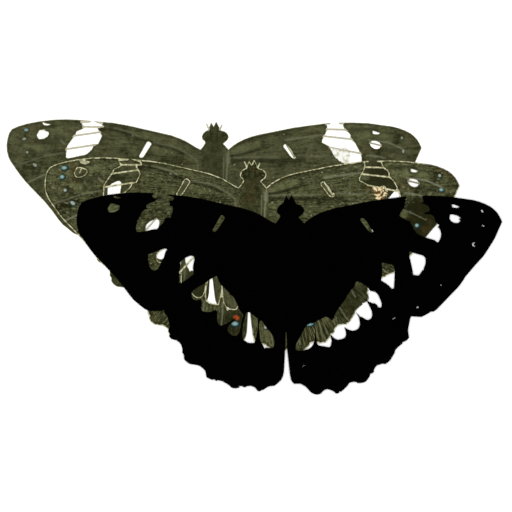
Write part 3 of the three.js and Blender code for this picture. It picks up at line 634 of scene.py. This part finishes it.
def sheet_piece(name, node, scale, form, materials, look=None):
    """A cut sheet of card that stands for a CAD node: print side, cut sides and underside."""
    rim, rim_drop, spacing = form
    origin = sheet_origin(node, scale)
    contours, top = top_contours(node)
    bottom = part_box(node)[0].z / MM
    fine = [resampled(contour, CONTOUR_STEP) for contour in contours]
    border, border_edges = joined(fine)
    edge_tree = tree_of(np.vstack([resampled(contour, CONTOUR_SAMPLE_STEP) for contour in contours]))
    features = feature_points(look) * scale + origin if look else []
    points = face_points(contours, fine, edge_tree, rim, spacing, features)
    edge = distances(points, edge_tree)
    edge[:len(border)] = 0
    drop = rim_drop * (1 - np.clip(edge / rim, 0, 1)) ** 2
    worn = border + np.vstack([inward(contour) for contour in fine]) * edge_roughness(len(border))
    worn_z = bottom + (top - bottom) * WORN_HEIGHT_SHARE
    co = np.vstack([
        np.column_stack([points, top - drop]),
        np.column_stack([worn, np.full(len(border), worn_z)]),
        np.column_stack([border, np.full(len(border), bottom)]),
    ])
    worn_row = len(points)
    bottom_row = worn_row + len(border)
    top_faces = triangles_of(points, border_edges, contours)
    bottom_faces = triangles_of(border, border_edges, contours)
    walls = wall_faces(border_edges, 0, worn_row) + wall_faces(border_edges, worn_row, bottom_row)
    faces = top_faces.tolist() + walls + (bottom_faces[:, ::-1] + bottom_row).tolist()
    slots = [0] * len(top_faces) + [1] * len(walls) + [2] * len(bottom_faces)
    mesh = bpy.data.meshes.new(name)
    mesh.from_pydata((co * MM).tolist(), [], faces)
    mesh.polygons.foreach_set("material_index", slots)
    for material in materials:
        mesh.materials.append(material)
    store(mesh, "edge_mm", np.concatenate([edge, np.zeros(2 * len(border))]))
    if look:
        store_print(mesh, (co[:, :2] - origin) / scale, look)
    mesh.validate()
    mesh.update()
    piece = bpy.data.objects.new(name, mesh)
    bpy.context.scene.collection.objects.link(piece)
    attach(piece, "root")
    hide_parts(node)
    return piece


def sheet_origin(node, scale):
    """The butterfly's own origin in a sheet, from the box of its CAD node."""
    low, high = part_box(node)
    return np.array([high.x / MM - RIGHT_TIP_X * scale, low.y / MM - LOWEST_LOBE_Y * scale])


def jittered_lattice(contours, spacing):
    """Points of a triangular lattice over the sheet, each moved a little at random."""
    low = np.vstack(contours).min(axis=0)
    high = np.vstack(contours).max(axis=0)
    row_gap = spacing * math.sqrt(3) / 2
    chance = np.random.RandomState(SEED)
    rows = []
    for i, y in enumerate(np.arange(low[1], high[1], row_gap)):
        x = np.arange(low[0] + (i % 2) * spacing / 2, high[0], spacing)
        rows.append(np.column_stack([x, np.full(len(x), y)]))
    lattice = np.vstack(rows)
    shift = chance.uniform(-LATTICE_SHIFT_SHARE, LATTICE_SHIFT_SHARE, lattice.shape)
    return lattice + shift * spacing


def edge_roughness(count):
    """How far the cut side is worn in, from point to point."""
    return np.random.RandomState(SEED).uniform(0.0, WORN_DEPTH, (count, 1))


def store(mesh, name, values):
    """Keeps a number or a vector for each point of the mesh, for its material to read."""
    kind = "FLOAT" if values.ndim == 1 else "FLOAT_VECTOR"
    attribute = mesh.attributes.new(name, kind, "POINT")
    field = "value" if values.ndim == 1 else "vector"
    attribute.data.foreach_set(field, values.astype(np.float32).ravel())


def store_print(mesh, local, look):
    """The values that the print's material reads, from places in the butterfly's own frame."""
    spots = look["blue_spots"] + look["pale_spots"]
    light_strips = [(list(strip), STRIP_HALF_WIDTH, 1.0) for strip in LIGHT_STRIPS]
    olive_strip = [(list(OLIVE_STRIP), STRIP_HALF_WIDTH, 1.0)]
    scrap_line = [(list(SCRAP_LINE), SCRAP_LINE_HALF_WIDTH, 1.0)]
    store(mesh, "pale", stroke_values(local, PALE_STROKES + look["own_strokes"]))
    store(mesh, "dark", stroke_values(local, DARK_STROKES))
    store(mesh, "tone", area_values(local, TONE_AND_SHADE_AREAS))
    store(mesh, "calm", area_values(local, CALM_AREAS))
    store(mesh, "streaked", area_values(local, STREAKED_AREAS))
    store(mesh, "bare", area_values(local, BARE_AREAS))
    store(mesh, "strip", stroke_values(local, light_strips))
    store(mesh, "olive_strip", stroke_values(local, olive_strip))
    store(mesh, "blue", spot_values(local, look["blue_spots"]))
    store(mesh, "pale_spot", spot_values(local, look["pale_spots"]))
    store(mesh, "speck", spot_values(local, PALE_SPECKS))
    store(mesh, "ring", spot_values(local - np.array(RING_OFFSET), spots, RING_SIZE))
    store(mesh, "red", spot_values(local, RED_SPOT))
    store(mesh, "brown", spot_values(local, BROWN_PATCHES + look["own_patches"]))
    store(mesh, "cream", spot_values(local, look["cream_patches"]))
    store(mesh, "scrap", is_inside(local, [np.array(look["scrap_shape"])]).astype(float))
    store(mesh, "scrap_line", stroke_values(local, scrap_line))
    store(mesh, "grain", grain_directions(local))


# Materials


def new_material(name):
    """A material, its node tree and the one shader in it."""
    material = bpy.data.materials.new(name)
    material.use_nodes = True
    tree = material.node_tree
    tree.nodes.clear()
    shader = tree.nodes.new("ShaderNodeBsdfPrincipled")
    output = tree.nodes.new("ShaderNodeOutputMaterial")
    tree.links.new(shader.outputs["BSDF"], output.inputs["Surface"])
    return material, tree, shader


def connect(tree, value, socket):
    """Links a node's output to the socket, or sets a plain value on it."""
    if isinstance(value, bpy.types.NodeSocket):
        tree.links.new(value, socket)
    else:
        socket.default_value = value


def read(tree, name, output="Fac"):
    """A value that is kept on the mesh."""
    node = tree.nodes.new("ShaderNodeAttribute")
    node.attribute_name = name
    return node.outputs[output]


def maths(tree, operation, a, b, clamp=False):
    """The sum, product or difference of two values."""
    node = tree.nodes.new("ShaderNodeMath")
    node.operation = operation
    node.use_clamp = clamp
    connect(tree, a, node.inputs[0])
    connect(tree, b, node.inputs[1])
    return node.outputs[0]


def product(tree, a, b):
    """Two values multiplied."""
    return maths(tree, "MULTIPLY", a, b)


def ramp(tree, value, low, high, to_low=0.0, to_high=1.0):
    """The value taken smoothly from one range to another, and held at its ends."""
    node = tree.nodes.new("ShaderNodeMapRange")
    node.interpolation_type = "SMOOTHSTEP"
    connect(tree, value, node.inputs["Value"])
    for socket, number in zip(("From Min", "From Max", "To Min", "To Max"), (low, high, to_low, to_high)):
        node.inputs[socket].default_value = number
    return node.outputs[0]


def mixed(tree, factor, a, b):
    """Colour a with that share of colour b over it."""
    node = tree.nodes.new("ShaderNodeMix")
    node.data_type = "RGBA"
    connect(tree, factor, node.inputs["Factor"])
    connect(tree, a, node.inputs["A"])
    connect(tree, b, node.inputs["B"])
    return node.outputs["Result"]


def scaled(tree, vector, sizes):
    """A vector with each of its parts multiplied by its own number."""
    node = tree.nodes.new("ShaderNodeVectorMath")
    node.operation = "MULTIPLY"
    connect(tree, vector, node.inputs[0])
    node.inputs[1].default_value = sizes
    return node.outputs[0]


def noise(tree, vector, scale, detail):
    """Soft noise from 0 to 1."""
    node = tree.nodes.new("ShaderNodeTexNoise")
    connect(tree, vector, node.inputs["Vector"])
    node.inputs["Scale"].default_value = scale
    node.inputs["Detail"].default_value = detail
    return node.outputs["Fac"]


def places(tree):
    """Coordinates on the object, in millimetres."""
    node = tree.nodes.new("ShaderNodeTexCoord")
    return scaled(tree, node.outputs["Object"], (1 / MM,) * 3)


def place_noise(tree, scale, detail):
    """Noise that is even in all directions, and changes about this often in a millimetre."""
    return noise(tree, places(tree), scale, detail)


def grain_noise(tree, grain, sizes, detail):
    """Noise that follows the grain of the print."""
    return noise(tree, scaled(tree, grain, sizes), 1.0, detail)


def finished(tree, shader, colour, roughness, specular, relief, depth_m):
    """Gives the shader its colour, its dull finish and its fine relief."""
    connect(tree, colour, shader.inputs["Base Color"])
    shader.inputs["Roughness"].default_value = roughness
    shader.inputs["Specular IOR Level"].default_value = specular
    node = tree.nodes.new("ShaderNodeBump")
    node.inputs["Distance"].default_value = depth_m
    node.inputs["Strength"].default_value = BUMP_STRENGTH
    connect(tree, relief, node.inputs["Height"])
    tree.links.new(node.outputs["Normal"], shader.inputs["Normal"])


def swing(tree, value, amount):
    """How far a noise value is from its middle, times an amount."""
    return product(tree, maths(tree, "SUBTRACT", value, 0.5), amount)


def marked(tree, colour, name, low, high, mark, strength=1.0):
    """The colour with a mark over it, which fades in as the mesh's value rises from low to high."""
    return mixed(tree, ramp(tree, read(tree, name), low, high, 0.0, strength), colour, mark)


def print_tone(tree, look, grain):
    """How light the plain print is at a place, from grain, mottle and the soft areas, one of which is
    painted shade.
    """
    textures = [
        (grain_noise(tree, grain, STREAK_GRAIN, 3.0), "streaks"),
        (grain_noise(tree, grain, FIBRE_GRAIN, 1.0), "fibres"),
        (place_noise(tree, 0.6, 4.0), "mottle"),
        (place_noise(tree, 2.6, 1.0), "speckle"),
    ]
    texture = 0.0
    for value, amount in textures:
        texture = maths(tree, "ADD", swing(tree, value, look[amount]), texture)
    left = ramp(tree, read(tree, "calm"), 0.0, 1.0, 1.0, CALM_TEXTURE_SHARE)
    texture = product(tree, texture, left)
    tone = maths(tree, "ADD", texture, product(tree, read(tree, "tone"), look["area_share"]))
    return maths(tree, "ADD", tone, look["middle_tone"], clamp=True)


def plain_print(tree, look, grain):
    """The olive print with its brown patches, pale dashes and yellowish streaks."""
    colour = mixed(tree, print_tone(tree, look, grain), look["dark_olive"], look["light_olive"])
    hue = ramp(tree, place_noise(tree, 0.55, 4.0), 0.5, 0.72, 0.0, look["brown_share"])
    colour = mixed(tree, hue, colour, look["brown"])
    patchy = product(tree, read(tree, "brown"), place_noise(tree, 1.3, 3.0))
    colour = mixed(tree, ramp(tree, patchy, 0.12, 0.4, 0.0, look["patch_share"]), colour, look["patch"])
    dashes = ramp(tree, grain_noise(tree, grain, DASH_GRAIN, 1.0), 0.58, 0.74)
    lively = ramp(tree, read(tree, "calm"), 0.0, 0.8, look["dash_share"], 0.0)
    colour = mixed(tree, product(tree, dashes, lively), colour, look["dash"])
    lines = ramp(tree, grain_noise(tree, grain, LINE_GRAIN, 0.0), 0.46, 0.62)
    lines = product(tree, lines, read(tree, "streaked"))
    return mixed(tree, product(tree, lines, look["line_share"]), colour, look["line"])


def with_veins(tree, look, grain, edge, colour):
    """The print with its dark strokes, its dark margin and its pale veins over it."""
    colour = mixed(tree, product(tree, read(tree, "dark"), look["dark_share"]), colour, look["shadow"])
    colour = mixed(tree, ramp(tree, edge, 0.25, 0.7, look["margin"], 0.0), colour, look["edge_shadow"])
    fibres = ramp(tree, grain_noise(tree, grain, VEIN_GRAIN, 2.0), 0.2, 0.55, 0.6, 1.0)
    pale = product(tree, read(tree, "pale"), fibres)
    return mixed(tree, product(tree, pale, look["pale_share"]), colour, look["vein"])


def with_spots(tree, look, colour):
    """The print with its spots over it, their dark rings and the patches of bare card."""
    colour = marked(tree, colour, "ring", 0.4, 0.62, look["ring"], look["ring_share"])
    colour = marked(tree, colour, "pale_spot", 0.4, 0.66, look["pale_spot"])
    blue = mixed(tree, ramp(tree, read(tree, "blue"), 0.6, 0.85), look["blue"], look["blue_middle"])
    colour = marked(tree, colour, "blue", 0.4, 0.6, blue)
    colour = marked(tree, colour, "red", 0.34, 0.78, look["red"])
    colour = marked(tree, colour, "speck", 0.4, 0.7, look["vein"])
    return marked(tree, colour, "cream", 0.4, 0.6, look["cream"])


def with_scrap(tree, look, colour):
    """The print with the worn scrap of bare card in the right band, and its dull line."""
    worn = place_noise(tree, look["scrap_scale"], 4.0)
    flecks = ramp(tree, worn, look["scrap_wear"] - SCRAP_FADE, look["scrap_wear"] + SCRAP_FADE)
    colour = marked(tree, colour, "scrap", 0.3, 0.7, mixed(tree, flecks, look["scrap_fleck"], look["scrap"]))
    line = product(tree, read(tree, "scrap_line"), look["scrap_line_share"])
    return mixed(tree, line, colour, look["olive_strip"])


def with_strips(tree, look, edge, colour):
    """The print with the light strips of card that cross the windows."""
    near = ramp(tree, edge, 0.14, 0.32, 1.0, 0.0)
    light = product(tree, ramp(tree, read(tree, "strip"), 0.2, 0.7), near)
    colour = mixed(tree, light, colour, look["strip"])
    olive = product(tree, ramp(tree, read(tree, "olive_strip"), 0.2, 0.7), near)
    return mixed(tree, olive, colour, look["olive_strip"])


def with_rim(tree, look, edge, colour):
    """The print with the worn cream rim along every cut, apart from the bare areas."""
    worn = place_noise(tree, 1.6, 4.0)
    ragged = maths(tree, "ADD", edge, swing(tree, worn, look["rim_wear"]))
    rim = ramp(tree, ragged, look["rim"] * 0.8, look["rim"] * 1.15, look["rim_share"], 0.0)
    rim = product(tree, rim, ramp(tree, read(tree, "bare"), 0.2, 0.8, 1.0, 0.1))
    rim = product(tree, rim, ramp(tree, read(tree, "olive_strip"), 0.3, 0.6, 1.0, 0.0))
    cream = mixed(tree, ramp(tree, worn, 0.4, 0.58), look["rim_bright"], look["rim_dull"])
    return mixed(tree, rim, colour, cream)


def card_face(name, look):
    """The printed face of a sheet, from the values kept on its mesh and from noise."""
    material, tree, shader = new_material(name)
    grain = read(tree, "grain", "Vector")
    edge = read(tree, "edge_mm")
    colour = with_veins(tree, look, grain, edge, plain_print(tree, look, grain))
    colour = with_scrap(tree, look, with_spots(tree, look, colour))
    colour = with_rim(tree, look, edge, with_strips(tree, look, edge, colour))
    relief = place_noise(tree, 6.0, 2.0)
    finished(tree, shader, colour, PRINT_ROUGHNESS, PRINT_SPECULAR, relief, FACE_RELIEF_M)
    return material


def cut_edge(name, light, dark):
    """The cut side of the card, in fine layers."""
    material, tree, shader = new_material(name)
    layers = noise(tree, scaled(tree, places(tree), CORE_LAYERS), 1.0, 3.0)
    colour = mixed(tree, ramp(tree, layers, 0.3, 0.7), dark, light)
    finished(tree, shader, colour, CARD_ROUGHNESS, CORE_SPECULAR, layers, CORE_RELIEF_M)
    return material


def plain_card(name, light, dark, specular=CARD_SPECULAR):
    """Unprinted card with a fine fibrous mottle."""
    material, tree, shader = new_material(name)
    fibres = place_noise(tree, 2.2, 5.0)
    colour = mixed(tree, ramp(tree, fibres, 0.3, 0.7), dark, light)
    finished(tree, shader, colour, CARD_ROUGHNESS, specular, fibres, FACE_RELIEF_M)
    return material


def printed_card(place, look):
    """The materials of a printed sheet: its face, its cut sides and its back."""
    return [
        card_face(f"{place}_print", look),
        cut_edge(f"{place}_core", *CARD_CORE),
        plain_card(f"{place}_back", *CARD_BACK),
    ]


def black_card():
    """The materials of the black sheet: its face, its cut sides and its back."""
    return [
        plain_card("black_face", *BLACK_FACE, specular=0.0),
        cut_edge("black_core", *BLACK_CORE),
        plain_card("black_back", *BLACK_BACK),
    ]


# The light and the dark colour of plain card and of the floor
CARD_CORE = (seen(226, 221, 180), seen(188, 182, 142))
CARD_BACK = (seen(214, 210, 190), seen(196, 192, 170))
BLACK_FACE = (grey(0.0005), grey(0.0003))
BLACK_CORE = (grey(0.006), grey(0.003))
BLACK_BACK = (grey(0.004), grey(0.002))
FLOOR_PAPER = (grey(0.94), grey(0.93))

# The looks of the two printed sheets: amounts of texture, colours as seen, shares and marks
MIDDLE_LOOK = {
    "streaks": 1.3, "fibres": 1.3, "mottle": 0.8, "speckle": 1.0, "middle_tone": 0.4, "area_share": 0.8,
    "dark_olive": seen(32, 33, 12), "light_olive": seen(100, 103, 68),
    "brown": seen(72, 63, 34), "brown_share": 0.25,
    "patch": seen(78, 63, 32), "patch_share": 0.35,
    "dash": seen(138, 138, 108), "dash_share": 0.6,
    "line": seen(120, 120, 82), "line_share": 0.5,
    "shadow": seen(22, 22, 8), "dark_share": 1.0,
    "edge_shadow": seen(38, 36, 8), "margin": 0.6,
    "vein": seen(132, 133, 106), "pale_share": 0.76,
    "ring": seen(22, 46, 46), "ring_share": 0.85,
    "pale_spot": seen(160, 170, 154), "blue": seen(104, 141, 139), "blue_middle": seen(150, 178, 173),
    "red": seen(162, 73, 35), "cream": seen(196, 192, 158),
    "strip": seen(218, 214, 164), "olive_strip": seen(136, 132, 106),
    "scrap": seen(246, 224, 176), "scrap_fleck": seen(92, 68, 34), "scrap_wear": 0.5,
    "scrap_shape": MIDDLE_SCRAP, "scrap_scale": 2.2, "scrap_line_share": 0.0,
    "rim": 0.18, "rim_wear": 0.3, "rim_share": 0.95,
    "rim_dull": seen(148, 148, 106), "rim_bright": seen(218, 215, 178),
    "blue_spots": MIDDLE_BLUE_SPOTS, "pale_spots": MIDDLE_PALE_SPOTS, "cream_patches": [SLIT_LEDGE],
    "own_strokes": MIDDLE_OWN_STROKES, "own_patches": MIDDLE_BODY_PATCHES,
}
REAR_LOOK = {
    "streaks": 1.2, "fibres": 0.8, "mottle": 1.2, "speckle": 0.8, "middle_tone": 0.44, "area_share": 0.8,
    "dark_olive": seen(40, 41, 20), "light_olive": seen(93, 95, 64),
    "brown": seen(72, 66, 44), "brown_share": 0.25,
    "patch": seen(78, 66, 40), "patch_share": 0.3,
    "dash": seen(110, 110, 84), "dash_share": 0.3,
    "line": seen(108, 108, 76), "line_share": 0.35,
    "shadow": seen(30, 30, 13), "dark_share": 0.95,
    "edge_shadow": seen(44, 44, 18), "margin": 0.4,
    "vein": seen(114, 115, 90), "pale_share": 0.78,
    "ring": seen(44, 54, 44), "ring_share": 0.6,
    "pale_spot": seen(140, 146, 126), "blue": seen(108, 134, 130), "blue_middle": seen(134, 160, 154),
    "red": seen(150, 70, 40), "cream": seen(182, 180, 148),
    "strip": seen(203, 198, 174), "olive_strip": seen(160, 156, 130),
    "scrap": seen(252, 251, 244), "scrap_fleck": seen(206, 204, 180), "scrap_wear": 0.46,
    "scrap_shape": REAR_SCRAP, "scrap_scale": 0.9, "scrap_line_share": 0.75,
    "rim": 0.1, "rim_wear": 0.06, "rim_share": 0.5,
    "rim_dull": seen(130, 130, 90), "rim_bright": seen(186, 184, 146),
    "blue_spots": REAR_BLUE_SPOTS, "pale_spots": REAR_PALE_SPOTS,
    "cream_patches": [SLIT_LEDGE, SLIVER_BACKING],
    "own_strokes": [], "own_patches": [],
}


def make_sheets():
    """The three sheets, each over its own CAD node."""
    rear_piece = sheet_piece(
        "rear_card", "rear_printed_sheet", PRINTED_SCALE, REAR_FORM,
        printed_card("rear", REAR_LOOK), REAR_LOOK)
    middle_piece = sheet_piece(
        "middle_card", "middle_printed_sheet", PRINTED_SCALE, MIDDLE_FORM,
        printed_card("middle", MIDDLE_LOOK), MIDDLE_LOOK)
    front_piece = sheet_piece("front_card", "front_black_sheet", FRONT_SCALE, FRONT_FORM, black_card())


# Stage


def make_stage():
    """The white paper under the object, a softbox above it and the even light of the room."""
    scene = bpy.context.scene
    scene.view_settings.view_transform = "Standard"
    bpy.ops.mesh.primitive_plane_add(size=FLOOR_SIZE_M, location=(0, 0, -FLOOR_DROP_M))
    floor = bpy.context.object
    floor.name = "floor"
    floor.data.materials.append(plain_card("floor_paper", *FLOOR_PAPER))
    softbox = bpy.data.lights.new("softbox", "AREA")
    softbox.size = SOFTBOX_SIZE_M
    softbox.energy = SOFTBOX_WATTS
    lamp = bpy.data.objects.new("softbox", softbox)
    lamp.location = (0, 0, SOFTBOX_HEIGHT_M)
    scene.collection.objects.link(lamp)
    world = bpy.data.worlds.new("studio")
    world.use_nodes = True
    world.node_tree.nodes["Background"].inputs["Color"].default_value = (1, 1, 1, 1)
    world.node_tree.nodes["Background"].inputs["Strength"].default_value = WORLD_STRENGTH
    scene.world = world


def make_camera():
    """The camera, which looks straight down from far away."""
    centre = sheet_origin("front_black_sheet", FRONT_SCALE) + np.array(VIEW_CENTRE_FROM_FRONT_SHEET)
    lens = bpy.data.cameras.new("camera")
    lens.sensor_width = SENSOR_WIDTH
    lens.lens = SENSOR_WIDTH * CAMERA_DISTANCE / VIEW_WIDTH
    camera = bpy.data.objects.new("camera", lens)
    camera.location = (centre[0] * MM, centre[1] * MM, (VIEW_PLANE_HEIGHT + CAMERA_DISTANCE) * MM)
    bpy.context.scene.collection.objects.link(camera)
    bpy.context.scene.camera = camera


make_camera()
make_stage()
make_sheets()
